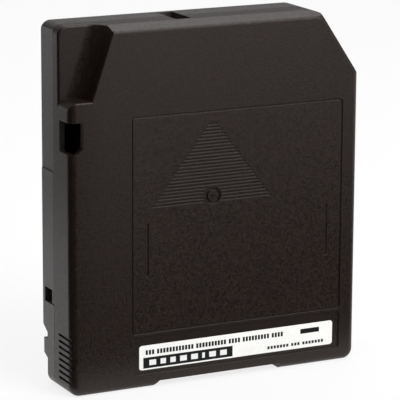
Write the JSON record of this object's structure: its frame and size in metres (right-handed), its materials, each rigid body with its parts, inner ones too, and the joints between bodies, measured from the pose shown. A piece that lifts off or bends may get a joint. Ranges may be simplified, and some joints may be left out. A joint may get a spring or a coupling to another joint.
{
  "type": "tape_cleaning_cartridge",
  "caption": "Half-inch single-reel tape cleaning cartridge in dark plastic, with a white label in its recess, standing on its trailing end",
  "frame": {"origin": "middle of the width and of the thickness, on the flat of the trailing end that it stands on", "axes": "+X to the right seen from the labelled front, +Y towards the back with the drive opening, +Z from the trailing end to the leading end that enters the drive"},
  "size_m": [0.109, 0.0244, 0.125],
  "materials": {
    "shell": "fine grain, satin",
    "label": "matt, slightly coated",
    "reel": "smooth moulded",
    "flange": "smooth moulded",
    "tape": "satin film",
    "steel": "plain",
    "button": "smooth moulded",
    "door": "smooth moulded",
    "switch": "smooth moulded",
    "chip": "coated board"
  },
  "bodies": {
    "casing": {"front_shell": "shell", "back_shell": "shell", "cleaning_label": "label", "leader_pin": "steel", "pin_clip": "button", "pin_spring_back": "steel", "pin_spring_front": "steel", "tape_leader": "tape", "memory_chip": "chip", "shell_screws": "steel", "door_spring": "steel"},
    "reel": {"reel_hub": "reel", "reel_flange": "flange", "cleaning_tape": "tape", "clutch_plate": "steel"},
    "brake": {"brake_button": "button", "brake_spring": "steel"},
    "pad": {"release_pad": "button"},
    "door": {"corner_door": "door"},
    "switch": {"write_protect_switch": "switch"}
  },
  "joints": [
    {"name": "reel_spin", "type": "hinge", "parent": "casing", "child": "reel", "pos_m": [-0.0018, 0, 0.0648], "axis": [0, -1, 0], "continuous": true},
    {"name": "brake_lift", "type": "slide", "parent": "casing", "child": "brake", "axis": [0, -1, 0], "range_m": [0, 0.0015], "stiffness_N_per_m": 300, "springref_m": -0.004},
    {"name": "pad_lift", "type": "slide", "parent": "reel", "child": "pad", "axis": [0, -1, 0], "range_m": [0, 0.0015]},
    {"name": "door_swing", "type": "hinge", "parent": "casing", "child": "door", "pos_m": [0.0365, 0, 0.1115], "axis": [0, -1, 0], "range_deg": [0, 105], "stiffness_Nm_per_rad": 0.0015, "springref_deg": -57.3},
    {"name": "switch_slide", "type": "slide", "parent": "casing", "child": "switch", "axis": [1, 0, 0], "range_m": [0, 0.006]}
  ],
  "couplings": [
    {"joint": "pad_lift", "follows": "brake_lift", "ratio": 1}
  ]
}
